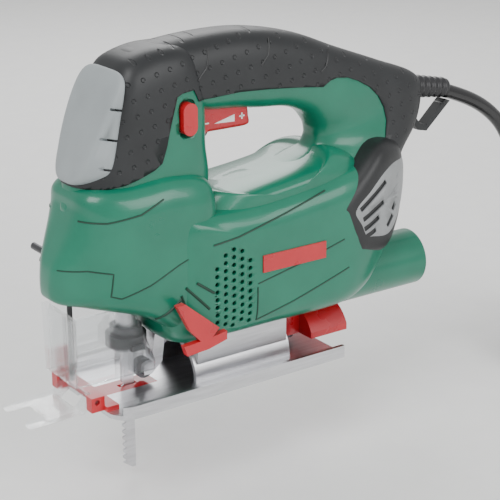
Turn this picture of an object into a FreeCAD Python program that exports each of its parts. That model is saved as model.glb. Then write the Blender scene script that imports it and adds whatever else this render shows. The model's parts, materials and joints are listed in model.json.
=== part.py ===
import FreeCAD, Part
import Sketcher
import math
import os
import re

V = FreeCAD.Vector
doc = FreeCAD.newDocument("jigsaw")

# Driving sizes in millimetres. X runs from the blade end to the rear, Y to the right-hand side, Z up from the sole.
SIZES = {
    "sole_long": 155, "sole_wide": 75, "sole_thick": 2.5, "rail_high": 7.5, "slot_half": 7,
    "hinge_z": 3, "tunnel_r": 20, "tunnel_x": -16, "tunnel_long": 66, "gap": 0.3, "fit": 0.05,
    "rod_x": -49.5, "rod_r": 5.5, "stroke": 18, "bush_r": 9, "clamp_z": 26, "clamp_r": 9,
    "motor_z": 78, "gear_r": 22.9, "pinion_r": 2.9, "mesh": 0.2, "shaft_r": 4,
    "armature_r": 17, "air_gap": 0.6, "field_r": 26, "stack_x": 34, "stack_long": 46,
    "body_half": 37, "nose_half": 31, "neck_half": 22, "grip_half": 18, "skin": 2.5,
    "nose_x": -98, "neck_x": -83, "grip_top": 197, "rear_x": 158, "belly_z": 28,
    "tube_r": 17.5, "tube_z": 36.5, "tube_x": 100, "tube_end": 158, "tube_wall": 2.5,
    "hood_half": 17, "hood_z": 15.5, "hood_x": -91, "hood_wall": 2,
    "cord_d": 9, "coil_ring": 92, "coil_thick": 27, "floor_z": -55,
}
sheet = doc.addObject("Spreadsheet::Sheet", "dims")
for row, (name, value) in enumerate(SIZES.items(), 1):
    sheet.set("A%d" % row, name)
    sheet.set("B%d" % row, str(value))
    sheet.setAlias("B%d" % row, name)
doc.recompute()
TURN = {"x": FreeCAD.Rotation(V(0, 1, 0), 90), "y": FreeCAD.Rotation(V(1, 0, 0), -90), "z": FreeCAD.Rotation()}
NODES = []


def q(text):
    """An expression over the sheet, from words that are its aliases."""
    return re.sub(r"[a-z][a-z_]*[a-z]", lambda m: "dims." + m.group(0) if m.group(0) in SIZES else m.group(0), str(text))


def bind(thing, prop, text):
    thing.setExpression(prop, q(text))


def at(thing, x, y, z):
    for key, value in zip("xyz", (x, y, z)):
        bind(thing, "Placement.Base." + key, value)
    return thing


def block(x0, x1, y0, y1, z0, z1):
    b = doc.addObject("Part::Box", "block")
    for prop, lo, hi in (("Length", x0, x1), ("Width", y0, y1), ("Height", z0, z1)):
        bind(b, prop, "(%s) - (%s)" % (hi, lo))
    return at(b, x0, y0, z0)


def rod(axis, x, y, z, long, r, r2=None):
    """A round bar, or a taper when a second radius is given, starting at a point."""
    c = doc.addObject("Part::Cone" if r2 is not None else "Part::Cylinder", "round")
    c.Placement.Rotation = TURN[axis]
    bind(c, "Height", long)
    if r2 is None:
        bind(c, "Radius", r)
    else:
        bind(c, "Radius1", r)
        bind(c, "Radius2", r2)
    return at(c, x, y, z)


def slab(points, y0, y1):
    """A side outline in X and Z, drawn between two Y levels."""
    s = doc.addObject("Sketcher::SketchObject", "outline")
    s.Placement = FreeCAD.Placement(V(0, 0, 0), FreeCAD.Rotation(V(1, 0, 0), 90))
    bind(s, "Placement.Base.y", y1)
    start = [tuple(float(sheet_value(v)) for v in p) for p in points]
    count = len(points)
    for i in range(count):
        s.addGeometry(Part.LineSegment(V(*start[i], 0), V(*start[(i + 1) % count], 0)))
    for i in range(count):
        s.addConstraint(Sketcher.Constraint("Coincident", i, 2, (i + 1) % count, 1))
    for i in range(count):
        for kind, n in (("DistanceX", 0), ("DistanceY", 1)):
            k = s.addConstraint(Sketcher.Constraint(kind, -1, 1, i, 1, start[i][n]))
            s.setExpression("Constraints[%d]" % k, q(points[i][n]))
    e = doc.addObject("Part::Extrusion", "slab")
    e.Base = s
    e.DirMode = "Custom"
    e.Dir = V(0, -1, 0)
    e.Solid = True
    bind(e, "LengthFwd", "(%s) - (%s)" % (y1, y0))
    return e


def sheet_value(text):
    """The number an expression stands for now."""
    cell = "D1"
    sheet.set(cell, "=" + re.sub(r"dims\.", "", q(text)))
    sheet.recompute()
    return sheet.get(cell)


def inset(whole, by):
    """The same slab with its outline moved in or out."""
    o = doc.addObject("Part::Offset2D", "inset")
    o.Source = whole.Base
    o.Join = 2
    bind(o, "Value", by)
    whole.Base = o
    return whole


def fuse(*things):
    if len(things) == 1:
        return things[0]
    f = doc.addObject("Part::MultiFuse", "join")
    f.Shapes = list(things)
    f.Refine = False
    return f


def cut(base, *tools):
    c = doc.addObject("Part::Cut", "cut")
    c.Base = base
    c.Tool = fuse(*tools)
    return c


def both(a, b):
    c = doc.addObject("Part::MultiCommon", "meet")
    c.Shapes = [a, b]
    return c


def soften(thing, radius, pick):
    """Rounds the edges that pick names; a body that refuses keeps its edges."""
    doc.recompute()
    edges = [(i, radius, radius) for i, e in enumerate(thing.Shape.Edges, 1) if pick(e)]
    f = doc.addObject("Part::Fillet", "soft")
    f.Base = thing
    f.Edges = edges
    doc.recompute()
    if "Invalid" in f.State or f.Shape.isNull() or not f.Shape.isValid() or f.Shape.Volume < 0.7 * thing.Shape.Volume:
        doc.removeObject(f.Name)
        print("kept sharp", thing.Name, radius)
        return thing
    return f


def node(label, thing):
    thing.Label = label
    NODES.append(thing)
    return thing


def ring(axis, x, y, z, long, r, bore):
    return cut(rod(axis, x, y, z, long, r), rod(axis, *[v if k != axis else "(%s) - 1" % v for k, v in zip("xyz", (x, y, z))],
               "(%s) + 2" % long, bore))


def flat_side(e, y):
    box = e.BoundBox
    return abs(box.YMin - y) < 0.01 and abs(box.YMax - y) < 0.01


# The cord's route, from its clamp inside the handle to the coil.
ROUTE = [V(116, 0, 152.7), V(178, 0, 142.7), V(222, 0, 124.5), V(246, 0, 96), V(252, 1, 52), V(253, 3, 8), V(266, 7, -28),
         V(302, 14, -48)]
lead_dir = (ROUTE[1] - ROUTE[0]).normalize()


def along_lead(thing, back):
    for key in "xyz":
        thing.setExpression("Placement.Base." + key, None)
    thing.Placement = FreeCAD.Placement(ROUTE[0] + lead_dir * back, FreeCAD.Rotation(V(0, 0, 1), lead_dir))
    return thing


lead_bore = along_lead(rod("z", 0, 0, 0, 60, "cord_d / 2 + 2.7"), -14)

# The clamshell: barrel, nose, neck and handle loop, hollowed and split on the centre plane.
BARREL = [(-34, "belly_z + 2"), (88, "belly_z"), (112, "belly_z + 16"), (128, "motor_z - 8"), (131, "motor_z + 20"),
          (118, "motor_z + 33"), (0, "motor_z + 29"), (-34, "motor_z + 29")]
NOSE = [(-34, "belly_z + 2"), (-44, 50), (-60, 55), ("nose_x + 2", 63), ("nose_x", 70), ("nose_x + 4", 92), ("neck_x", 104),
        ("neck_x", 122), (-70, 128), (-6, 128), (-6, 40)]
NECK = [(-80, 100), ("neck_x", 104), ("neck_x", 121), (-76, 150), (-66, 172), (-56, "grip_top - 14"), (-30, "grip_top - 10"),
        (-18, "grip_top - 11"), (-4, 155), (-4, 100)]
LOOP = [(-56, "grip_top - 10"), (-48, "grip_top - 5.5"), (-28, "grip_top - 2"), (-4, "grip_top"), (22, "grip_top"),
        (42, "grip_top - 2"), (64, "grip_top - 7.5"), (92, "grip_top - 19"), ("rear_x - 6", "grip_top - 40"),
        ("rear_x", "grip_top - 46"), ("rear_x", "grip_top - 63"), (148, 122), (140, 112), (137, 99), (135, 84), (130, 74),
        (112, 60), (-30, 60), (-70, 126)]
HOLE = [(-3, 154), (-3, 118), (3, 111), (28, 112.3), (57, 116), (71, 120), (76.5, 126), (76.5, 134), (71, 142),
        (60, 148), (42, 150.5), (25, 151.5)]


def side_pair(points, half, radius):
    whole = slab(points, "-(%s)" % half, half)
    level = float(sheet_value(half))
    return soften(whole, radius, lambda e: flat_side(e, level) or flat_side(e, -level))


barrel = side_pair(BARREL, "body_half", 12)
nose = side_pair(NOSE, "nose_half", 8)
neck = side_pair(NECK, "neck_half", 5)
loop = cut(side_pair(LOOP, "grip_half", 7), slab(HOLE, -60, 60))
core = cut(inset(slab(LOOP, "-(grip_half) + skin", "grip_half - skin"), "-(skin)"), inset(slab(HOLE, -60, 60), "skin"))


def well(*more):
    """Every hollow inside the shell; made afresh for each solid it opens."""
    return [
        rod("x", -4, 0, "motor_z", 116, "field_r"), rod("x", 110, 0, "motor_z", 16, 9.5),
        block(-64, -4, -27, 27, 60, 125), block(-64, -4, -19, 19, 60, 157), rod("z", "rod_x", 0, 40, 142, 6.5),
        rod("x", "tube_x", 0, "tube_z", 60, "tube_r"), block(-14, 60, -30, 30, 33, 48),
        block(-12, 46, -12.5, 12.5, 172, 189), block(-13, 31, -9.5, 9.5, 130, 173),
        block(52, 92, -10, 10, 160, 172), block(100, 129, -12, 12, 116, 147),
        lead_bore, rod("x", "nose_x - 2", 0, 64.5, 18, 3), block("tunnel_x + 2", 48, -19, 19, 12, "belly_z + 5"), block(94, 106, -10, 10, 68, 88),
        block(94, 106, -25, 25, 72, 84), block(-44, -12, -8, 8, 12, 60),
    ] + list(more)


lock_pocket = fuse(rod("y", -20.5, -30, 152, 19, 4.8), rod("y", -20.5, -30, 161, 19, 4.8),
                   block(-25.3, -15.7, -30, -11, 152, 161))
PAD = [("neck_x - 1", 122.5), (-77, 149.5), (-67.5, 171), (-57, "grip_top - 10"), (-51, "grip_top - 14"), (-62, 168),
       (-71, 148), (-78, 122.5)]
pad_zone = slab(PAD, "-(neck_half) + 3", "neck_half - 3")
upper = fuse(slab([(-44, 152), (-30, 128), (-3, 154), (25, 151.5), (80, 140), (80, 108), (112, 70), (135, 70), (165, 110),
                   (165, 230), (-44, 230)], -60, 60))
shell_all = fuse(barrel, nose, neck, core)
saddle_room = rod("x", "tunnel_x - 30", 0, "hinge_z", 140, "tunnel_r + 3")
grille_zone = [slab([(82, 88), (110, 118), (118, 100), (96, 66)], s * 20 - 20, s * 20 + 20) for s in (-1, 1)]
grille_seat = fuse(slab([(84, 90), (108, 116), (115, 100), (98, 70)], "-(body_half) - 1.8", "-(body_half) + 3"),
                   slab([(84, 90), (108, 116), (115, 100), (98, 70)], "body_half - 3", "body_half + 1.8"))
solid = cut(shell_all, fuse(*well(lock_pocket, pad_zone, saddle_room, grille_seat, slab(HOLE, -60, 60))))
vents = [rod("y", -14 + 7 * c + 1.5 * (r % 2), s * 26 - 14, 42 + 6.2 * r, 28, 1.5)
         for c in range(5) for r in range(7) for s in (-1, 1)]
vented = cut(solid, fuse(*vents))
SCREWS = [(-88, 84), (-60, 182), (-52, 56.5), (46, 104), (124, 98), (148, 138), (80, 34), (-30, 36)]
screws = fuse(*[both(rod("y", x, 5, z, 60, 2), solid) for x, z in SCREWS])
node("housing_screws", screws)
node("housing_left", both(vented, block(-140, 200, -60, 0, 0, 240)))
node("housing_right", cut(both(vented, block(-140, 200, 0, 60, 0, 240)), screws))
grip_cut = [core, lead_bore, block(-64, -4, -19, 19, 60, 157), block(-13, 31, -9.5, 9.5, 120, 173), lock_pocket, pad_zone,
                     barrel, nose, neck]
node("soft_grip", cut(both(loop, upper), fuse(*grip_cut)))
node("front_grip_pad", both(pad_zone, neck))

# Gearbox block that carries bushes, axle and front bearing.
node("gearbox", cut(fuse(block(-64, -4, -27, 27, 60, 125), block(-64, -4, -19, 19, 60, 157)),
     rod("x", -30, 0, "motor_z + gear_r + pinion_r + mesh", 21, "gear_r + 1.4"),
     block(-30, -9, -24.3, 24.3, 64, 104), block(-48.5, -29, -23, 23, 80, 124),
     rod("z", "rod_x", 0, 50, 120, 6.5), rod("z", "rod_x", 0, 61, 12, "bush_r"), rod("z", "rod_x", 0, 138, 12, "bush_r"),
     rod("x", -12, 0, "motor_z", 20, 11), block(-14, 0, -9.5, 9.5, 130, 160), lock_pocket, block(-44, -29, -8, 8, 40, 66),
     block(-13, 2, -9.5, 9.5, 130, 170),
     rod("x", -10, 0, "motor_z + gear_r + pinion_r + mesh", 5, 4)))
node("lower_bush", ring("z", "rod_x", 0, 61, 12, "bush_r", "rod_r + fit"))
node("upper_bush", ring("z", "rod_x", 0, 138, 12, "bush_r", "rod_r + fit"))
GEAR_Z = "motor_z + gear_r + pinion_r + mesh"
node("front_bearing", ring("x", -8, 0, "motor_z", 7, 11, "shaft_r + fit"))
node("rear_bearing", ring("x", 117, 0, "motor_z", 7, 9.5, "shaft_r + fit"))
node("field_core", ring("x", "stack_x", 0, "motor_z", "stack_long", "field_r", "armature_r + air_gap"))
node("field_coils", fuse(*[ring("x", x, 0, "motor_z", 7, 24.5, 19) for x in ("stack_x - 7", "stack_x + stack_long")]))
node("brush_holders", fuse(*[cut(block(94, 106, y, y + 12, 72, 84), block(96.5, 103.5, y - 1, y + 13, 74.5, 81.5))
                             for y in (-24.5, 12.5)]))
node("carbon_brushes", fuse(*[block(96.5, 103.5, y, y + 11, 74.5, 81.5) for y in (-22.3, 11.3)]))
node("gear_axle", rod("x", -27, 0, GEAR_Z, 22, 4))
node("switch_body", block(-8, 34, -12, 12, 174, 188))
node("speed_module", block(101, 125, -11, 11, 117, 139))
node("suppressor", block(54, 90, -9, 9, 161, 171))
node("suction_tube", cut(rod("x", "tube_x", 0, "tube_z", "tube_end - tube_x", "tube_r"),
     rod("x", "tube_x - 1", 0, "tube_z", "tube_end - tube_x + 2", "tube_r - tube_wall")))
node("rear_grille", cut(grille_seat, fuse(*[block(80, 120, s * 38 - 12, s * 38 + 12, z, "%s + 3" % z)
     for z in (77, 86, 95, 104) for s in (-1, 1)], *[block(70, 130, -34, 34, 60, 125)])))
node("saddle_plate", cut(block("tunnel_x + 2", 48, -19, 19, 12, "belly_z + 5"),
     rod("x", "tunnel_x - 10", 0, "hinge_z", 90, "tunnel_r + gap")))
node("saddle_bolt", fuse(rod("z", 60, 0, 6, "belly_z - 6", 3), rod("z", 60, 0, 6, 2, 6)))
HOOD = [("hood_x", "hood_z + 1"), ("hood_x - 1", 56), (-60, 56), (-52, 50), (-41, "hood_z + 6"), (-41, "hood_z")]
HOOD_IN = [("hood_x + hood_wall", "hood_z - 6"), ("hood_x + hood_wall", 60), (-30, 60), (-30, "hood_z - 6")]
node("guard_hood", cut(cut(slab(HOOD, "-(hood_half)", "hood_half"), nose),
     slab(HOOD_IN, "-(hood_half) + hood_wall", "hood_half - hood_wall")))
node("finger_rod", cut(rod("z", -84, 0, 14, 60, 1.5), nose))
node("cord_clamp", block(120, 128, -11, 11, 142, 146))
node("side_badge", block(18, 62, "-(body_half) - 0.8", "-(body_half)", 66, 76))

# Rotor, running on the motor axis.
node("rotor_shaft", fuse(rod("x", -12, 0, "motor_z", 136, "shaft_r"), rod("x", -27, 0, "motor_z", 15, "pinion_r")))
node("armature", ring("x", "stack_x", 0, "motor_z", "stack_long", "armature_r", "shaft_r"))
node("armature_windings", fuse(*[ring("x", x, 0, "motor_z", 8, 14.5, "shaft_r") for x in ("stack_x - 8", "stack_x + stack_long")]))
node("commutator", ring("x", 92, 0, "motor_z", 16, 11, "shaft_r"))
blades = [rod("x", 6, 0, "motor_z", 3, 23.5)]
for i in range(9):
    b = block(8, 17, 10, 23, -0.8, 0.8)
    b.Placement = FreeCAD.Placement(V(8, 0, SIZES["motor_z"]), FreeCAD.Rotation(V(1, 0, 0), 40 * i)).multiply(
        FreeCAD.Placement(V(0, 10, -0.8), FreeCAD.Rotation()))
    for key in "xyz":
        b.setExpression("Placement.Base." + key, None)
    bind(b, "Placement.Base.z", "motor_z + (%.4f)" % (b.Placement.Base.z - SIZES["motor_z"]))
    blades.append(b)
node("fan", cut(fuse(rod("x", 6, 0, "motor_z", 11, 7), *blades), rod("x", 0, 0, "motor_z", 30, "shaft_r")))

# Drive gear with its crank pin and counterweight.
node("drive_gear", ring("x", -25, 0, GEAR_Z, 10, "gear_r", "4 + fit"))
node("crank_pin", rod("x", -33.5, 0, "%s - stroke / 2" % GEAR_Z, 8.5, 4))
node("counterweight", cut(rod("x", -15, 0, GEAR_Z, 4, 19), rod("x", -16, 0, GEAR_Z, 6, "4 + fit"),
     block(-17, -9, -30, 30, "%s - 40" % GEAR_Z, GEAR_Z)))

# Plunger, yoke, clamp and blade at mid stroke.
node("plunger_rod", rod("z", "rod_x", 0, "clamp_z + 10", "155 - clamp_z", "rod_r"))
node("yoke", cut(block(-47, -34.2, -21.5, 21.5, "%s - 6.5" % GEAR_Z, "%s + 6.5" % GEAR_Z), rod("z", "rod_x", 0, 60, 90, "rod_r"),
     block(-38.5, -30, -17.5, 17.5, "%s - 4.2" % GEAR_Z, "%s + 4.2" % GEAR_Z)))
node("blade_clamp", cut(rod("z", "rod_x", 0, "clamp_z", 13, "clamp_r"), rod("z", "rod_x", 0, "clamp_z + 10", 20, "rod_r"),
     block("rod_x - 4.2", "rod_x + 4.2", -0.7, 0.7, "clamp_z - 1", "clamp_z + 10")))
node("clamp_collar", fuse(ring("z", "rod_x", 0, "clamp_z + 1.5", 7, "clamp_r + 2.6", "clamp_r + fit"),
     block("rod_x - 4", "rod_x + 4", "-(clamp_r) - 4.5", "-(clamp_r) - 1.5", "clamp_z + 1.5", "clamp_z + 4.5")))
TEETH = [slab([("rod_x - 5", -46 + 4 * i), ("rod_x - 1.8", -45 + 4 * i), ("rod_x - 5", -42.2 + 4 * i)], -2, 2) for i in range(13)]
BLADE = [("rod_x - 4", "clamp_z + 9.5"), ("rod_x + 4", "clamp_z + 9.5"), ("rod_x + 4", -50), ("rod_x + 1.5", -50),
         ("rod_x - 4", -46)]
node("saw_blade", cut(slab(BLADE, -0.6, 0.6), fuse(*TEETH)))

# Orbital drive: fork, roller and selector.
ROLL_X = "rod_x + 4 + 6.1"
node("guide_roller", ring("y", ROLL_X, -3, 10.5, 6, 5.8, "2 + fit"))
node("roller_fork", cut(fuse(slab([(-42, 8), (-37, 7.8), (-30, 14), (-25, 52), (-31, 52), (-37, 16), (-42, 13.5)], -6.5, 6.5)),
     block(-60, -31, -3.3, 3.3, 0, 22), block(-60, -36, -7, 7, "clamp_z - stroke / 2 - 2", 70), rod("y", -28, -7, 47, 14, "2 + fit"),
     rod("y", ROLL_X, -6.5, 10.5, 13, 2)))
node("roller_pin", rod("y", ROLL_X, -6.5, 10.5, 13, 2))
node("fork_pin", rod("y", -28, -7.9, 47, 15.8, 2))
PADDLE = [(-41, 60), (-36, 60.5), (-14, 42), (-23, 33), (-33, 44)]
ARM = [(-37, 36), (-35, 30), (-21, 31), (-9, 34), (-9, 39), (-22, 37)]
node("orbit_lever", fuse(slab(PADDLE, "-(body_half) - 4", "-(body_half) - 0.3"), slab(ARM, "-(body_half) - 4", "-(body_half) - 0.3"),
     rod("y", -22, "-(body_half) - 1", 40, 1, 3)))

# Switch controls.
dial_pocket = rod("y", -1.5, -6, 144, 12, 5.6)
node("trigger", cut(fuse(block(-7, 28, -8.5, 8.5, 141.5, 157), block(0, 26, -7.5, 7.5, 150, 167),
     slab([(-11, 134), (-5, 134), (-5, 146), (-7, 150), (-11, 150)], -8, 8)), dial_pocket,
     rod("y", -1.5, -7, 144, 14, "2 + fit")))
node("speed_dial", fuse(rod("y", -1.5, -5, 144, 10, 5.3), rod("y", -1.5, -6.6, 144, 13.2, 2)))
node("lock_button", fuse(rod("y", -20.5, -25, 152, 10, 4.4), rod("y", -20.5, -25, 161, 10, 4.4),
     block(-24.9, -16.1, -25, -15, 152, 161)))

# Sole, its tunnel, the insert and the guide fittings.
HALF = "sole_wide / 2"
END = "sole_long / 2"
plate = block("-(sole_long) / 2", END, "-(sole_wide) / 2", HALF, 0, "sole_thick")
rails = [block("-(sole_long) / 2", END, y0, y1, 0, "rail_high") for y0, y1 in
         (("-(sole_wide) / 2", "-(sole_wide) / 2 + sole_thick"), ("sole_wide / 2 - sole_thick", HALF))]
corners = [cut(block("-(sole_long) / 2 - 1", "-(sole_long) / 2 + 12", a, b, -1, "rail_high + 1"),
               rod("z", "-(sole_long) / 2 + 12", c, -2, 20, 12))
           for a, b, c in (("-(sole_wide) / 2 - 1", "-(sole_wide) / 2 + 12", "-(sole_wide) / 2 + 12"),
                           ("sole_wide / 2 - 12", "sole_wide / 2 + 1", "sole_wide / 2 - 12"))]
slot = block("-(sole_long) / 2 - 1", "rod_x + 16", "-(slot_half)", "slot_half", -1, 10)
node("sole_plate", cut(fuse(plate, *rails), fuse(slot, *corners)))
node("sole_tunnel", cut(rod("x", "tunnel_x", 0, "hinge_z", "tunnel_long", "tunnel_r"),
     rod("x", "tunnel_x - 1", 0, "hinge_z", "tunnel_long + 2", "tunnel_r - 2.5"),
     block("tunnel_x - 2", 60, -30, 30, -40, "sole_thick")))
node("splinter_insert", cut(block("-(sole_long) / 2 + 4", "rod_x + 16", "-(slot_half)", "slot_half", 0, "sole_thick"),
     block("rod_x - 6", "rod_x + 5.5", -1.6, 1.6, -1, 5)))
clips = [fuse(block(-85, -77, y - 3, y + 3, "sole_thick", 11)) for y in (-19.5, 19.5)]
node("guide_holder", cut(fuse(block(-77.5, -70, -26, 26, "sole_thick", 5.5), *clips, block(-80, -73, 22.5, 25, "sole_thick", 24)),
     rod("y", -81.5, -30, 8, 60, "1.5 + fit")))
node("cut_guide", fuse(rod("y", -81.5, -15.8, 8, 31.6, 1.5), *[slab([(-83, 9.4), (-80, 9.4), (-80, 5), (-86, 0.2), (-119, 0.2),
     (-118, 2.2), (-88, 3.4)], y - 3, y + 3) for y in (-13, 13)], block(-106, -89, -16, 16, 0.2, 2.6)))
node("sole_lever", cut(fuse(rod("z", 60, 0, 8.5, 15, 8), both(rod("x", 66, 0, "hinge_z", 27, "tunnel_r + 2"),
     block(60, 100, -20, 20, 8.5, 26)), block(60, 70, -8, 8, 8.5, 23.5)), rod("z", 60, 0, 0, 40, "3 + fit"),
     *[rod("z", 66 + 6 * i, s * 21.6, 0, 40, 1.2) for i in range(5) for s in (-1, 1)]))

# Cord: straight runs joined by tangent arcs, then a tied coil with the plug beside it.


def cord_path(points):
    edges, here, radii = [], points[0], []
    for a, b, c in zip(points, points[1:], points[2:]):
        u, w = (a - b).normalize(), (c - b).normalize()
        half = (math.pi - u.getAngle(w)) / 2
        back = 0.45 * min((a - b).Length, (c - b).Length)
        radius = back / math.tan(half)
        radii.append(round(radius, 1))
        p, r = b + u * back, b + w * back
        mid_dir = (u + w).normalize()
        centre = b + mid_dir * (radius / math.cos(half))
        middle = centre - mid_dir * radius
        edges.append(Part.makeLine(here, p))
        edges.append(Part.Arc(p, middle, r).toShape())
        here = r
    edges.append(Part.makeLine(here, points[-1]))
    return Part.Wire(edges), radii


wire, radii = cord_path(ROUTE)
path = doc.addObject("Part::Feature", "route")
path.Shape = wire
section = doc.addObject("Part::Circle", "section")
bind(section, "Radius", "cord_d / 2")
section.Placement = FreeCAD.Placement(ROUTE[0], FreeCAD.Rotation(V(0, 0, 1), ROUTE[1] - ROUTE[0]))
tube = doc.addObject("Part::Sweep", "tube")
tube.Sections = [section]
tube.Spine = (path, ["Edge%d" % (i + 1) for i in range(len(wire.Edges))])
tube.Solid = True
node("cord", tube)
doc.recompute()
print("cord radii", radii, "volume ratio", round(tube.Shape.Volume / (math.pi * (SIZES["cord_d"] / 2) ** 2 * wire.Length), 4))
end = ROUTE[-1]
coil = doc.addObject("Part::Torus", "ring")
bind(coil, "Radius1", "coil_ring / 2")
bind(coil, "Radius2", "coil_thick / 2")
at(coil, end.x, "%g - coil_ring / 2" % end.y, "floor_z + coil_thick / 2")
node("cord_coil", coil)
tie = both(cut(rod("y", "%g + coil_ring / 2" % end.x, "%g - coil_ring / 2 - 3" % end.y, "floor_z + coil_thick / 2", 6,
                   "coil_thick / 2 + 1.2"), coil), block(200, 480, -150, 50, "floor_z", 0))
node("cord_tie", tie)
PLUG_Z = "floor_z + coil_thick + 19"
boot = rod("x", end.x - 18, 0, PLUG_Z, 24, 5.5, 9)
plug_body = rod("x", end.x + 6, 0, PLUG_Z, 34, 15, 19)
pins = [rod("x", end.x + 40, dy, PLUG_Z, 19, 2.4) for dy in (-9.5, 9.5)]
node("plug", fuse(plug_body, boot, *pins))
outer = doc.addObject("Part::Cone", "boot")
bind(outer, "Radius1", "cord_d / 2 + 2.4")
bind(outer, "Radius2", "cord_d / 2 + 1.1")
outer.Height = 34
node("cable_boot", cut(along_lead(outer, 34), tube))

STRAP = [(150, 129), (159, 119), (166, 117.5), (184.5, 134), (181, 135.5), (166, 121.5), (160.5, 123), (153, 132)]
node("cable_strap", cut(slab(STRAP, -4, 4), loop, along_lead(rod("z", 0, 0, 0, 40, "cord_d / 2 + 2.6"), 34)))
node("light_lens", cut(rod("x", "nose_x + 6", 0, 64.5, 8, 3), rod("x", "nose_x + 12", 0, 64.5, 8, 2)))

doc.recompute()
bad = [o.Label for o in doc.Objects if "Invalid" in o.State or "Error" in o.State]
os.makedirs("parts", exist_ok=True)
for old in os.listdir("parts"):
    os.remove(os.path.join("parts", old))
for n in NODES:
    s = n.Shape
    if s.isNull() or not s.isValid():
        bad.append(n.Label)
        continue
    b = s.BoundBox
    print("%-18s solids %2d volume %9.0f  x %6.1f..%6.1f y %6.1f..%6.1f z %6.1f..%6.1f"
          % (n.Label, len(s.Solids), s.Volume, b.XMin, b.XMax, b.YMin, b.YMax, b.ZMin, b.ZMax))
    s.exportStep("parts/%s.step" % n.Label)
print(len(NODES), "nodes", "bad:", bad)
if bad:
    raise SystemExit("broken: " + ", ".join(bad))
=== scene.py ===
import bpy
import json
import math
from mathutils import Matrix, Vector


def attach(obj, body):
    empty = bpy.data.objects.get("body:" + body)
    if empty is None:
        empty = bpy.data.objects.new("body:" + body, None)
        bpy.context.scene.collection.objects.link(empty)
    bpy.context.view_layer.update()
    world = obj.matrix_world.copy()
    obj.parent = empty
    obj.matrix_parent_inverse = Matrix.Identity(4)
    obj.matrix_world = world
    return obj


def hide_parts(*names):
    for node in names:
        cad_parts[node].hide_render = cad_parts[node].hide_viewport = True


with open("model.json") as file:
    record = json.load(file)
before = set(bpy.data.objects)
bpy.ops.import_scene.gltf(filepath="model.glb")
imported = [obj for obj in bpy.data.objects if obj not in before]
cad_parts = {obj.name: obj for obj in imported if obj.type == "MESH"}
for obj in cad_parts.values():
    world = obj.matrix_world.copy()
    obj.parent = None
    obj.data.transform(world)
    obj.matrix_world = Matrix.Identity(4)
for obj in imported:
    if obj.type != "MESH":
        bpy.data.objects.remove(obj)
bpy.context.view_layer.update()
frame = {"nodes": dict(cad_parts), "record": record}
MM = 0.001

# %% [markdown]
# The saw is seen from its front left, a little above. The camera comes first, because where the cord
# may lie out of sight depends on it. A long lens keeps the sides nearly parallel, as a product shot has them.

# %% Camera, floor and light
camera_data = bpy.data.cameras.new("camera")
camera = bpy.data.objects.new("camera", camera_data)
bpy.context.scene.collection.objects.link(camera)
CAMERA_PLACE = (-0.4341, -0.6605, 0.3512)
CAMERA_BACK = Vector((-0.5464, -0.7685, 0.3329))
LENS = 106.4
camera.location = CAMERA_PLACE
camera.rotation_mode = "QUATERNION"
camera.rotation_quaternion = CAMERA_BACK.to_track_quat("Z", "Y")
camera_data.lens = LENS
camera_data.clip_start = 0.02
bpy.context.scene.camera = camera
bpy.ops.mesh.primitive_plane_add(size=8, location=(0, 0, -0.0565))
floor = bpy.context.active_object
floor.name = "floor"
world = bpy.data.worlds.new("studio")
world.use_nodes = True
world.node_tree.nodes["Background"].inputs["Color"].default_value = (1, 1, 1, 1)
world.node_tree.nodes["Background"].inputs["Strength"].default_value = 0.75
bpy.context.scene.world = world
LAMPS = [("key", (-0.9, -0.5, 1.3), 0.9, 16), ("side", (0.5, -1.3, 0.7), 0.8, 9),
         ("back", (0.6, 1.0, 0.9), 0.7, 8)]
for name, place, size, watts in LAMPS:
    lamp = bpy.data.lights.new(name, "AREA")
    lamp.size = size
    lamp.energy = watts
    lamp_object = bpy.data.objects.new(name, lamp)
    lamp_object.location = place
    lamp_object.rotation_mode = "QUATERNION"
    lamp_object.rotation_quaternion = Vector(place).to_track_quat("Z", "Y")
    bpy.context.scene.collection.objects.link(lamp_object)
print("camera at", tuple(camera.location))

# %% [markdown]
# Moulded plastic is never one flat colour: it has a faint mottle, and a fine spark-eroded grain that breaks
# up its highlights. One helper makes a finish from its colour, gloss, grain size and grain height.

# %% Finishes
FINISHES = {}


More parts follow.
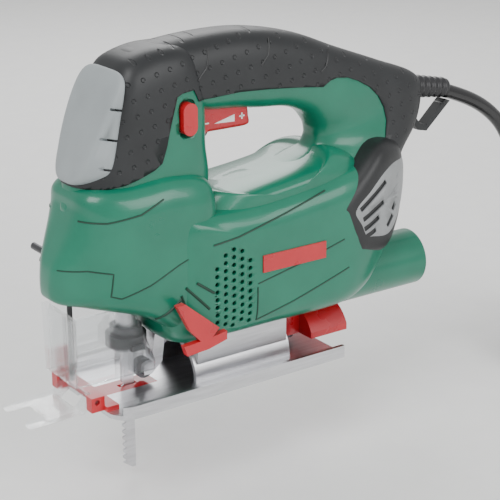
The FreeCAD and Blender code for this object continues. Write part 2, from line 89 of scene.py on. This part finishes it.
def finish(name, colour, rough, grain=900, height=0.05, metal=0.0, coat=0.0, mottle=0.12, kind="noise",
           stretch=None):
    material = bpy.data.materials.new(name)
    FINISHES[name] = material
    material.use_nodes = True
    nodes, links = material.node_tree.nodes, material.node_tree.links
    shader = nodes["Principled BSDF"]
    shader.inputs["Metallic"].default_value = metal
    shader.inputs["Coat Weight"].default_value = coat
    place = nodes.new("ShaderNodeTexCoord")
    source = place.outputs["Object"]
    if stretch:
        mapping = nodes.new("ShaderNodeMapping")
        mapping.inputs["Scale"].default_value = stretch
        links.new(source, mapping.inputs["Vector"])
        source = mapping.outputs["Vector"]
    cloud = nodes.new("ShaderNodeTexNoise")
    cloud.inputs["Scale"].default_value = 45
    cloud.inputs["Detail"].default_value = 6
    links.new(source, cloud.inputs["Vector"])
    ramp = nodes.new("ShaderNodeValToRGB")
    dark = [c * (1 - mottle) for c in colour]
    lite = [min(1, c * (1 + mottle) + 0.002) for c in colour]
    ramp.color_ramp.elements[0].position = 0.35
    ramp.color_ramp.elements[1].position = 0.65
    ramp.color_ramp.elements[0].color = (*dark, 1)
    ramp.color_ramp.elements[1].color = (*lite, 1)
    links.new(cloud.outputs["Fac"], ramp.inputs["Fac"])
    links.new(ramp.outputs["Color"], shader.inputs["Base Color"])
    spread = nodes.new("ShaderNodeMapRange")
    spread.inputs["To Min"].default_value = max(0.02, rough - 0.06)
    spread.inputs["To Max"].default_value = rough + 0.06
    links.new(cloud.outputs["Fac"], spread.inputs["Value"])
    links.new(spread.outputs["Result"], shader.inputs["Roughness"])
    if kind == "dimple":
        flat = nodes.new("ShaderNodeMapping")
        flat.inputs["Scale"].default_value = (1, 0, 1)
        flat.inputs["Rotation"].default_value = (0, math.radians(12), 0)
        links.new(place.outputs["Object"], flat.inputs["Vector"])
        source = flat.outputs["Vector"]
        pattern = nodes.new("ShaderNodeTexVoronoi")
        pattern.inputs["Randomness"].default_value = 0.0
        dish = nodes.new("ShaderNodeMapRange")
        dish.interpolation_type = "SMOOTHSTEP"
        dish.inputs["From Min"].default_value = 0.09
        dish.inputs["From Max"].default_value = 0.17
        links.new(pattern.outputs["Distance"], dish.inputs["Value"])
        value = dish.outputs["Result"]
    else:
        pattern = nodes.new("ShaderNodeTexNoise")
        pattern.inputs["Detail"].default_value = 3
        value = pattern.outputs["Fac"]
    pattern.inputs["Scale"].default_value = grain
    links.new(source, pattern.inputs["Vector"])
    bump = nodes.new("ShaderNodeBump")
    bump.inputs["Strength"].default_value = height
    bump.inputs["Distance"].default_value = 0.0006
    links.new(value, bump.inputs["Height"])
    links.new(bump.outputs["Normal"], shader.inputs["Normal"])
    return material


def clear(name, colour, rough):
    material = finish(name, colour, rough, grain=300, height=0.02, mottle=0.03)
    shader = material.node_tree.nodes["Principled BSDF"]
    shader.inputs["Transmission Weight"].default_value = 0.9
    shader.inputs["IOR"].default_value = 1.2
    shader.inputs["Alpha"].default_value = 0.42
    return material


GREEN = finish("green_shell", (0.0, 0.155, 0.088), 0.30, grain=1400, height=0.06, coat=0.25, mottle=0.06)
BLACK = finish("black_grip", (0.012, 0.0135, 0.015), 0.46, grain=118, height=1.0, kind="dimple")
PLAIN_BLACK = finish("plain_black", (0.011, 0.012, 0.013), 0.42, grain=1300, height=0.10)
PAD_GREY = finish("grey_pad", (0.30, 0.33, 0.34), 0.55, grain=1500, height=0.12, mottle=0.05)
RED = finish("red_plastic", (0.50, 0.008, 0.016), 0.28, grain=1200, height=0.04, coat=0.3, mottle=0.07)
STEEL = finish("steel", (0.62, 0.62, 0.64), 0.30, grain=700, height=0.08, metal=1.0, mottle=0.08,
               stretch=(1, 12, 12))
DARK_STEEL = finish("dark_steel", (0.10, 0.10, 0.105), 0.38, grain=800, height=0.08, metal=1.0)
LAMINATE = finish("laminate", (0.16, 0.16, 0.17), 0.5, grain=400, height=0.3, metal=0.8, stretch=(8, 1, 1))
COPPER = finish("copper", (0.48, 0.16, 0.06), 0.35, grain=900, height=0.2, metal=1.0)
BRONZE = finish("bronze", (0.42, 0.27, 0.10), 0.45, grain=1800, height=0.2, metal=1.0)
BLACK_PLASTIC = finish("black_plastic", (0.016, 0.016, 0.018), 0.38, grain=1300, height=0.10)
GREY_PLASTIC = finish("grey_plastic", (0.10, 0.115, 0.12), 0.48, grain=1300, height=0.12)
PALE = finish("pale_plastic", (0.62, 0.62, 0.58), 0.45, grain=1200, height=0.06)
GREY_LIGHT = finish("light_grey", (0.27, 0.28, 0.285), 0.42, grain=1300, height=0.10)
# A shaded tone of the shell green: painted shade, used for the dark moulding lines, steps and lever gate.
PAINTED_SHADE_GREEN = finish("shadow_green", (0.0, 0.035, 0.018), 0.5, grain=1400, height=0.06)
WHITE = finish("white_print", (0.85, 0.85, 0.83), 0.4, grain=1400, height=0.03)
CARBON = finish("carbon", (0.02, 0.02, 0.02), 0.7, grain=2500, height=0.2)
CORD = finish("cord_rubber", (0.008, 0.008, 0.009), 0.22, grain=900, height=0.04, coat=0.2)
CLEAR = clear("clear", (0.80, 0.83, 0.85), 0.06)
FLOOR = finish("pale_floor", (0.86, 0.86, 0.85), 0.75, grain=60, height=0.02, mottle=0.01)
floor.data.materials.append(FLOOR)
for part in frame["record"]["subparts"]:
    node = frame["nodes"][part["node"]]
    node.data.materials.clear()
    node.data.materials.append(FINISHES[part["material_slot"]])
print(len(FINISHES), "finishes on", len(frame["nodes"]), "nodes")

# %% [markdown]
# The mains lead is 2.5 m of 9 mm rubber cable. It leaves the boot, falls in one easy curve to the floor, and
# the rest is wound in a tied coil. One NURBS spline carries all of it, so the curve has no kinks anywhere.

# %% The lead
route = [(160, 0, 145.6), (178, 0, 142.7), (222, 0, 124.5), (246, 0, 96), (252, 1, 52), (253, 3, 8),
         (266, 7, -28)]
COIL = Vector((302, -32, -41.5))
SLOTS = [(0, -6.5), (4.5, -7.8), (-4.5, -7.8), (-9, 0), (0, 0), (9, 0), (4.5, 7.8), (-4.5, 7.8)]
STEPS = 14
HELD_STEPS = 8
COIL_R = 46
TOP_R = 41.5
TOP_UP = 7.8


def on_coil(angle, radius, up):
    """A place on the coil, at an angle in degrees round it."""
    turned = math.radians(angle)
    return COIL.x + radius * math.cos(turned), COIL.y + radius * math.sin(turned), COIL.z + up


for turn in range(len(SLOTS) - 1):
    for step in range(STEPS):
        share = max(0, (step - HELD_STEPS) / (STEPS - HELD_STEPS))
        out = SLOTS[turn][0] * (1 - share) + SLOTS[turn + 1][0] * share
        up = SLOTS[turn][1] * (1 - share) + SLOTS[turn + 1][1] * share
        route.append(on_coil(90 - 360 * step / STEPS, COIL_R + out, up))
for angle in range(90, -151, -30):
    route.append(on_coil(angle, TOP_R, TOP_UP))
route += [(258, -34, -33), (259, -18, -30), (266, -6, -23), (280, -1, -14), (294, 0, -9.5), (306, 0, -9)]
curve = bpy.data.curves.new("cord_lead", "CURVE")
curve.dimensions = "3D"
spline = curve.splines.new("NURBS")
spline.points.add(len(route) - 1)
for point, (x, y, z) in zip(spline.points, route):
    point.co = (x * MM, y * MM, z * MM, 1)
spline.order_u = 3
spline.use_endpoint_u = True
spline.resolution_u = 8
LEAD_R = 4.5
curve.bevel_depth = LEAD_R * MM
curve.bevel_resolution = 5
curve.use_fill_caps = True
curve.materials.append(CORD)
lead = bpy.data.objects.new("cord_lead", curve)
bpy.context.scene.collection.objects.link(lead)
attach(lead, "housing")
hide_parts("cord", "cord_coil")
print("lead control points", len(route))

# %% [markdown]
# The moulded bodies swell from the parting line and flatten at the sides. Each starts as a grid: one way runs
# round the side outline, the other goes from the left side to the right. A power curve sets how boxy it is.

# %% Helpers for swelling bodies


def rounded(points, count):
    """A closed smooth line through a few corner points, evenly counted."""
    result = []
    n = len(points)
    for k in range(count):
        t = k * n / count
        i = int(t)
        f = t - i
        p = [points[(i + j - 1) % n] for j in range(4)]
        point = []
        for before, start, end, after in zip(*p):
            slope = (end - before) * f
            bend = (2 * before - 5 * start + 4 * end - after) * f * f
            twist = (3 * start - before - 3 * end + after) * f ** 3
            point.append(0.5 * (2 * start + slope + bend + twist))
        result.append(tuple(point))
    return result


def power(value, e):
    """A signed power: under 1 it squares up a round section."""
    return math.copysign(abs(value) ** e, value)


def grid_piece(name, across, along, place, material):
    """A grid whose two ways are bent into a closed body by place(u, v)."""
    bpy.ops.object.select_all(action="DESELECT")
    bpy.ops.mesh.primitive_grid_add(x_subdivisions=along, y_subdivisions=across, size=1, location=(0, 0, 0))
    piece = bpy.context.active_object
    piece.name = piece.data.name = name
    flat = []
    for vertex in piece.data.vertices:
        u = (vertex.co.x + 0.5)
        v = (vertex.co.y + 0.5)
        flat.extend(c * MM for c in place(u, v))
    piece.data.vertices.foreach_set("co", flat)
    bpy.ops.object.mode_set(mode="EDIT")
    bpy.ops.mesh.select_all(action="SELECT")
    bpy.ops.mesh.remove_doubles(threshold=0.00001)
    bpy.ops.mesh.normals_make_consistent(inside=False)
    bpy.ops.object.mode_set(mode="OBJECT")
    bpy.ops.object.shade_smooth_by_angle(angle=math.radians(38))
    piece.data.materials.append(material)
    return piece


def sample(line, u):
    """The point of a closed line at a share of its way round."""
    n = len(line)
    t = (u % 1.0) * n
    i = int(t + 1e-6) % n
    return line[i]


def taper(x, bow, stern):
    """How far the sides draw in towards a rounded front or back."""
    factor = 1.0
    if bow and x < bow[0]:
        factor = max(0.0, 1 - ((bow[0] - x) / (bow[0] - bow[1])) ** 2) ** 0.5
    if stern and x > stern[0]:
        factor = max(0.0, 1 - ((x - stern[0]) / (stern[1] - stern[0])) ** 2) ** 0.5
    return factor


def swell(name, outline, half, e, material, centre=None, edge=0.5, count=120, across=36, bow=None,
          stern=None):
    """A body with a side outline that swells to a half width, boxier as e falls."""
    line = rounded(outline, count)
    if centre is None:
        centre = [sum(p[d] for p in line) / count for d in (0, 1)]

    def place(u, v):
        x, z = sample(line, u)
        angle = (v - 0.5) * math.pi
        reach = math.cos(angle) ** edge if 0 < v < 1 else 0.0
        px = centre[0] + (x - centre[0]) * reach
        y = half * power(math.sin(angle), e) * taper(px, bow, stern)
        return px, y, centre[1] + (z - centre[1]) * reach
    piece = grid_piece(name, across, count, place, material)
    print(name, len(piece.data.polygons), "faces")
    return piece


def settle(piece, body, slot, *nodes):
    """Puts a piece on its body and hides the nodes that it stands for; the slot is not used."""
    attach(piece, body)
    if nodes:
        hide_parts(*nodes)
    return piece


def combine(piece, tool, operation):
    """Applies one boolean with a tool and throws the tool away."""
    bpy.ops.object.select_all(action="DESELECT")
    bpy.context.view_layer.objects.active = piece
    piece.select_set(True)
    modifier = piece.modifiers.new("combine", "BOOLEAN")
    modifier.object = tool
    modifier.operation = operation
    modifier.solver = "EXACT"
    bpy.ops.object.modifier_apply(modifier="combine")
    bpy.data.objects.remove(tool)
    print(piece.name, operation.lower(), len(piece.data.polygons), "faces")


def merge(blocks):
    """Joins a few blocks into the first one."""
    bpy.ops.object.select_all(action="DESELECT")
    for block in blocks:
        block.select_set(True)
    bpy.context.view_layer.objects.active = blocks[0]
    if len(blocks) > 1:
        bpy.ops.object.join()
    return bpy.context.active_object


def carve(piece, cutters):
    """Cuts a set of tools out of a piece."""
    combine(piece, merge(cutters), "DIFFERENCE")


def bar(x, y, z, dx, dy, dz, tilt=0.0, bevel=0.3):
    """A small bevelled block for marks, ribs and cutting tools."""
    bpy.ops.object.select_all(action="DESELECT")
    bpy.ops.mesh.primitive_cube_add(size=1, location=(0, 0, 0))
    block = bpy.context.active_object
    block.data.transform(Matrix.Diagonal((dx * MM, dy * MM, dz * MM, 1)))
    if bevel:
        modifier = block.modifiers.new("soft", "BEVEL")
        modifier.width = bevel * MM
        modifier.segments = 3
        bpy.ops.object.modifier_apply(modifier="soft")
    block.data.transform(Matrix.Rotation(math.radians(tilt), 4, "Y"))
    block.data.transform(Matrix.Translation((x * MM, y * MM, z * MM)))
    return block


def joined(name, blocks, material):
    """One piece with a finish of its own, made of several blocks."""
    piece = merge(blocks)
    piece.name = piece.data.name = name
    piece.data.materials.clear()
    piece.data.materials.append(material)
    bpy.ops.object.shade_smooth_by_angle(angle=math.radians(35))
    return piece


def drum(x, y, z, r, depth, sides=16):
    """A round tool lying across the saw."""
    bpy.ops.object.select_all(action="DESELECT")
    bpy.ops.mesh.primitive_cylinder_add(vertices=sides, radius=r * MM, depth=depth * MM, location=(0, 0, 0))
    tool = bpy.context.active_object
    tool.data.transform(Matrix.Rotation(math.radians(90), 4, "X"))
    tool.data.transform(Matrix.Translation((x * MM, y * MM, z * MM)))
    return tool


def prism(points, y0=-60, y1=60):
    """A tool with a side outline, drawn through the whole saw."""
    bpy.ops.object.select_all(action="DESELECT")
    bpy.ops.mesh.primitive_circle_add(vertices=len(points), radius=1, fill_type="NGON", location=(0, 0, 0))
    tool = bpy.context.active_object
    for vertex, (x, z) in zip(tool.data.vertices, points):
        vertex.co = (x * MM, y0 * MM, z * MM)
    bpy.ops.object.mode_set(mode="EDIT")
    bpy.ops.mesh.select_all(action="SELECT")
    bpy.ops.mesh.extrude_region_move(TRANSFORM_OT_translate={"value": (0, (y1 - y0) * MM, 0)})
    bpy.ops.mesh.select_all(action="SELECT")
    bpy.ops.mesh.normals_make_consistent(inside=False)
    bpy.ops.object.mode_set(mode="OBJECT")
    return tool


def grow(piece, by):
    """Moves a surface outwards along its normals."""
    normals = [tuple(v.normal) for v in piece.data.vertices]
    for vertex, normal in zip(piece.data.vertices, normals):
        vertex.co = [c + n * by * MM for c, n in zip(vertex.co, normal)]


SEAM_STEP = 1.5
FAR_SIDE = 0.09


def side_of(pieces, x, z, side):
    """How far out the outermost of the pieces stands at one place, looked at from one side."""
    best = None
    for piece in pieces:
        start = Vector((x * MM, side * FAR_SIDE, z * MM))
        hit, where, _, _ = piece.ray_cast(start, Vector((0, -side, 0)))
        if hit and (best is None or abs(where.y) > abs(best)):
            best = where.y
    return best


def seam(name, pieces, points, material, radius, sides=(-1, 1)):
    """A moulding line laid on the sides of the pieces, found by looking for them from each side."""
    line = []
    for (x0, z0), (x1, z1) in zip(points, points[1:]):
        steps = max(2, int(math.hypot(x1 - x0, z1 - z0) / SEAM_STEP))
        line += [(x0 + (x1 - x0) * k / steps, z0 + (z1 - z0) * k / steps) for k in range(steps)]
    line.append(points[-1])
    strands = []
    for side in sides:
        found = [(x, side_of(pieces, x, z, side), z) for x, z in line]
        track = [(x * MM, y, z * MM) for x, y, z in found if y is not None]
        if len(track) < 3:
            continue
        data = bpy.data.curves.new(name, "CURVE")
        data.dimensions = "3D"
        strand = data.splines.new("POLY")
        strand.points.add(len(track) - 1)
        for point, place in zip(strand.points, track):
            point.co = (*place, 1)
        data.bevel_depth = radius * MM
        data.bevel_resolution = 2
        data.use_fill_caps = True
        thing = bpy.data.objects.new(name, data)
        bpy.context.scene.collection.objects.link(thing)
        bpy.ops.object.select_all(action="DESELECT")
        thing.select_set(True)
        bpy.context.view_layer.objects.active = thing
        bpy.ops.object.convert(target="MESH")
        strands.append(bpy.context.active_object)
    return joined(name, strands, material)


# %% [markdown]
# The green clamshell has three swellings: the motor barrel, the gear nose and the neck under the grey pad.
# They run into each other, so three bodies overlap and one sloping ledge fills the corner below the hand.

# %% Green shell
BARREL = [(-37, 34), (-10, 29), (30, 28.5), (80, 28.5), (104, 36), (120, 52), (131, 70), (136.5, 84),
          (138, 99), (128, 113), (96, 114), (60, 109), (20, 105), (-20, 105), (-37, 102), (-39, 70)]
VENT_R = 1.3
VENT_START = (-12, 38)
VENT_STEP = (5.4, 4.5)
barrel = swell("motor_barrel", BARREL, 37, 0.42, GREEN, centre=(45, 70), edge=0.34, count=180, across=60,
               stern=(78, 143))
vents = []
for column in range(5):
    vent_x = VENT_START[0] + VENT_STEP[0] * column
    for row in range(11 - abs(column - 2)):
        vent_z = VENT_START[1] + VENT_STEP[1] * row + 2.2 * (column % 2) + 0.25 * column
        for side in (-1, 1):
            vents.append(drum(vent_x, side * 36, vent_z, VENT_R, 9, 12))
carve(barrel, vents)
settle(barrel, "housing", "green_shell", "housing_left", "housing_right")
NOSE = [(-30, 36), (-44, 46), (-58, 52.5), (-84, 60.5), (-95.5, 63.5), (-98.3, 69), (-97, 82), (-93, 92),
        (-88, 104), (-85, 114), (-83.5, 122), (-76, 126), (-58, 126.5), (-30, 128), (-8, 122), (-2, 100),
        (-2, 60), (-14, 36)]
nose = swell("gear_nose", NOSE, 32.5, 0.40, GREEN, centre=(-46, 84), edge=0.36, count=160, across=60,
             bow=(-44, -101))
settle(nose, "housing", "green_shell")
NECK = [(-84, 108), (-83.2, 121), (-79.5, 137), (-73.2, 154), (-65, 171), (-57, 183.5), (-49, 190),
        (-30, 194), (-12, 190), (-4, 165), (-3, 140), (-3, 112), (-30, 100), (-60, 100)]

neck = swell("neck", NECK, 22.5, 0.5, GREEN, edge=0.42, count=160, across=60, bow=(-52, -87))
neck_copy = neck.data.copy()
carve(neck, [bar(10, 0, 144, 42, 18.4, 40, 0, 1), bar(-20.5, -22, 156.5, 11.5, 8, 21, 0, 4)])
settle(neck, "housing", "green_shell")
LEDGE = [(-28, 84), (-8, 111), (6, 110.8), (28, 112.6), (57, 116.3), (71, 120), (82, 124), (102, 114),
         (110, 84), (40, 70)]
ledge = swell("hand_ledge", LEDGE, 30, 0.62, GREEN, edge=0.5, count=140, across=48)
settle(ledge, "housing", "green_shell")
CASE = [(-60, 64), (-34, 62), (-8, 64), (-8, 112), (-22, 120), (-46, 120), (-60, 112)]
case = swell("gear_case", CASE, 22, 0.3, GREY_PLASTIC, count=60, across=20)
settle(case, "housing", "grey_plastic", "gearbox")

# %% [markdown]
# The handle is a ring: at each place round it the section is a rounded box between the outer line and the
# finger hole. The green core is made first. The black skin is the same ring grown by a hair and cut to the
# skin's outline, so its edge is a real moulded step.

# %% Handle core and black skin
LOOP = [(-50, 188, -8, 156, 19), (-30, 194, 4, 154.5, 18.5), (0, 197, 20, 153, 18), (30, 196.3, 36, 151, 18),
        (62, 190, 55, 149, 17.5), (92, 178.6, 69, 143.5, 17), (125, 166.5, 76, 135.5, 16.5),
        (152, 156, 77, 130, 15.5),
        (158, 145, 76.5, 126, 15.5), (154, 127, 74, 122, 17), (141, 110, 66, 119, 21),
        (136, 90, 50, 115, 24), (90, 78, 30, 113, 24), (20, 76, 10, 111.2, 22), (-30, 84, 0, 114, 20),
        (-54, 120, -4, 124, 18), (-58, 160, -5, 142, 18)]
SECTION = 0.7
loop_line = rounded(LOOP, 200)


def loop_place(u, v):
    """A place on the ring: u goes round the hole and v round the section."""
    xo, zo, xi, zi, half = sample(loop_line, u)
    a = 2 * math.pi * v
    mx, mz, hx, hz = (xo + xi) / 2, (zo + zi) / 2, (xo - xi) / 2, (zo - zi) / 2
    reach = power(math.cos(a), SECTION)
    return mx + hx * reach, half * power(math.sin(a), SECTION), mz + hz * reach


SKIN_EDGE = [(-110, 127), (-88, 126.2), (-72, 125), (-60, 126.4), (-50.5, 129), (-42, 132), (-37.4, 135),
             (-34.5, 143), (-31.5, 155), (-27.3, 169), (-24, 170.6), (-15.8, 171.2), (-12, 164.2),
             (0, 164.4), (16.6, 165), (36, 164), (57, 162), (74, 160), (79, 163), (84, 164), (92, 163),
             (100, 160), (109, 155), (116, 148.7), (121, 141), (123, 133), (121.5, 124), (117.5, 116),
             (112, 110), (100, 102), (100, 40), (180, 40), (180, 215), (-110, 215)]
SKIN_PROUD = 0.6
NECK_PROUD = 0.7
core = grid_piece("handle_core", 56, 200, loop_place, GREEN)
skin = grid_piece("grip_skin", 56, 200, loop_place, BLACK)
for thing in (core, skin):
    carve(thing, [bar(10, 0, 146, 42, 18.6, 44, 0, 1), bar(-20.5, -22, 156.5, 11.5, 10, 21, 0, 4)])
grow(skin, SKIN_PROUD)
combine(skin, prism(SKIN_EDGE), "INTERSECT")
settle(core, "housing", "green_shell")
settle(skin, "housing", "black_grip", "soft_grip")
neck_skin = bpy.data.objects.new("neck_skin", neck_copy)
bpy.context.scene.collection.objects.link(neck_skin)
neck_skin.data.materials.clear()
neck_skin.data.materials.append(BLACK)
grow(neck_skin, NECK_PROUD)
combine(neck_skin, prism(SKIN_EDGE), "INTERSECT")
carve(neck_skin, [bar(10, 0, 144, 42, 18.4, 40, 0, 1)])
settle(neck_skin, "housing", "black_grip")

# %% [markdown]
# A grey pad is let into the neck for the second hand. It stands a little proud, with three pressed creases
# each side. At the back a louvred panel in a black frame lets cooling air reach the brushes.

# %% Grey pad, frame and louvres
PAD = [(-84.2, 127.5), (-80.8, 139), (-74.4, 155), (-66.3, 172), (-59.5, 183), (-56, 184.5), (-56.5, 178),
       (-60, 160), (-64, 138), (-67, 130), (-72, 127.5)]
pad = swell("front_pad", PAD, 23.8, 0.5, PAD_GREY, centre=(-70, 152), edge=0.3, count=120, across=48,
            bow=(-52, -88.5))
dents = []
for crease in range(3):
    for side in (-1, 1):
        dents.append(bar(-69.5 + 6 * crease, side * 21.3, 136 + 15 * crease, 19, 5, 1.3, 12, 0.4))
carve(pad, dents)
settle(pad, "housing", "grey_pad", "front_grip_pad")
FRAME_LINE = [(69.5, 94.5), (71.5, 88), (83, 62), (90, 57), (116, 56), (131, 70), (138, 84), (140, 99),
              (137, 113), (126, 122), (108, 124), (90, 112)]
kite = swell("grille_frame", FRAME_LINE, 38.0, 0.36, PLAIN_BLACK, centre=(106, 88), edge=0.28, count=140,
             across=48, stern=(76, 144.5))
settle(kite, "housing", "black_grip")
PANEL_LINE = [(77.5, 90.5), (84, 77), (89, 68), (95, 66), (116, 64), (130, 76), (137, 90), (138.5, 101),
              (135.5, 111), (122, 116), (108, 113), (92, 102)]
grille = swell("louvre_panel", PANEL_LINE, 38.7, 0.34, GREY_LIGHT, centre=(106, 89), edge=0.26, count=140,
               across=48, stern=(77, 145.5))
LOUVRES = [(97.6, 96, 25, -31), (98, 86.9, 19, -22), (96.7, 79.6, 13, -22), (96.4, 73.6, 8, -20),
           (124, 106, 9, -60), (122, 96, 9, -55), (119, 86, 8, -50), (114, 77, 8, -45)]
slots = []
for x, z, long, tilt in LOUVRES:
    for side in (-1, 1):
        slots.append(bar(x, side * 36, z, long, 14, 3.4, tilt, 0.6))
carve(grille, slots)
settle(grille, "housing", "grey_plastic", "rear_grille")

# %% [markdown]
# Moulding lines say how the shell was made: the chin panel round the light, the vent panel, the step under the
# hand and the seams between the grip's fields.
# Each is laid on the surface where a tool would have left it, as a thin tube in a shaded tone of the green:
# the line is real, its darkness is painted shade in the step or groove.

# %% Moulding lines in painted shade
CHIN = [(-97, 83), (-84, 84), (-72, 81.5), (-73.5, 69), (-68, 67), (-52, 72), (-34, 80), (-18, 85.5),
        (-15.5, 80), (-11, 58), (-7, 44)]
LINES = [("chin_line", [nose], CHIN, 0.4),
         ("nose_step", [nose, neck], [(-88, 110), (-74, 109.5), (-56, 112), (-42, 118)], 0.5),
         ("barrel_step", [barrel, nose], [(-14, 88), (2, 90), (34, 97), (64, 104.5)], 0.55),
         ("plate_line", [barrel], [(14.7, 38), (40, 44), (62, 50.5), (80, 56)], 0.45),
         ("plate_top", [barrel], [(14.7, 58), (14.7, 38)], 0.45),
         ("stripe_line", [barrel], [(15, 60), (45, 66), (76, 74)], 0.4)]
for name, on, points, radius in LINES:
    settle(seam(name, on, points, PAINTED_SHADE_GREEN, radius), "housing", "green_shell")
GRIP_SEAMS = [[(-3, 191), (-6, 181), (-12, 175)], [(38, 192), (35, 183), (30, 178)],
              [(80, 180), (76, 172), (72, 169)]]
for number, points in enumerate(GRIP_SEAMS):
    line = seam("grip_seam_%d" % number, [skin, neck_skin], points, PLAIN_BLACK, 0.45)
    settle(line, "housing", "black_grip")
# The lever gate slots are drawn as dark tubes in the painted shade green.
GATE = [[(-46, 50), (-33, 60)], [(-33, 62), (-27, 46)], [(-30, 66), (-17, 52)],
        [(-24, 68), (-13, 60), (-12, 46)]]
for number, points in enumerate(GATE):
    line = seam("lever_gate_%d" % number, [nose, barrel], points, PAINTED_SHADE_GREEN, 0.8, sides=(-1,))
    settle(line, "housing", "green_shell")

# %% [markdown]
# The switch trigger is a long red bar under the grip; its front end has a round recess where the speed wheel
# sits. A minus, a wedge and a plus show which way the wheel goes; they are plain raised marks.

# %% Trigger and its marks
TRIGGER = [(-10, 150), (-11, 141), (-9.5, 135), (-6.5, 136.5), (-3, 141), (3, 142), (16, 142), (30, 142.6),
           (30.5, 148), (29.5, 154), (26, 160), (10, 162), (-6, 160)]
trigger = swell("trigger_bar", TRIGGER, 9.0, 0.4, RED, centre=(8, 151), edge=0.4, count=96, across=28)
carve(trigger, [drum(-1.5, 0, 144, 5.6, 13, 40)])
settle(trigger, "trigger", "red_plastic", "trigger")
minus = bar(0, -9.0, 148, 3, 0.5, 0.8, 0, 0.1)
plus = [bar(23.5, -9.0, 149, 3.6, 0.5, 0.9, 0, 0.1), bar(23.5, -9.0, 149, 0.9, 0.5, 3.6, 0, 0.1)]
wedge = prism([(5, 147.2), (18.5, 146.6), (18.5, 150.6)], -9.25, -8.6)
marks = [minus, *plus, wedge]
settle(joined("trigger_marks", marks, WHITE), "trigger", "pale_plastic")

# %% [markdown]
# A moulded cable boot is a stack of soft rings, thick at the shell and thin at the lead. A grid rolled into a
# sleeve gives it: its radius falls along the lead, and a sine wave on that radius makes the rings.

# %% Cable boot
LEAD_START = Vector((116, 0, 152.7))
LEAD_WAY = (Vector((178, 0, 142.7)) - LEAD_START).normalized()
LEAD_UP = Vector((0, 1, 0)).cross(LEAD_WAY).normalized()


BOOT_START = 34
BOOT_LONG = 34
BOOT_RINGS = 7
BOOT_BORE = 4.4


def boot_place(u, v):
    """A place on the boot: u goes round the lead and v along it."""
    long = BOOT_START + BOOT_LONG * v
    radius = 7.0 - 1.3 * v + 0.45 * math.sin(v * 2 * math.pi * BOOT_RINGS)
    if v in (0, 1):
        radius = BOOT_BORE
    a = 2 * math.pi * u
    p = LEAD_START + LEAD_WAY * long + (Vector((0, 1, 0)) * math.cos(a) + LEAD_UP * math.sin(a)) * radius
    return p.x, p.y, p.z


boot = grid_piece("boot_rings", 90, 40, boot_place, BLACK_PLASTIC)
settle(boot, "housing", "black_grip", "cable_boot")
print("boot from", tuple(round(c) for c in LEAD_START + LEAD_WAY * BOOT_START))
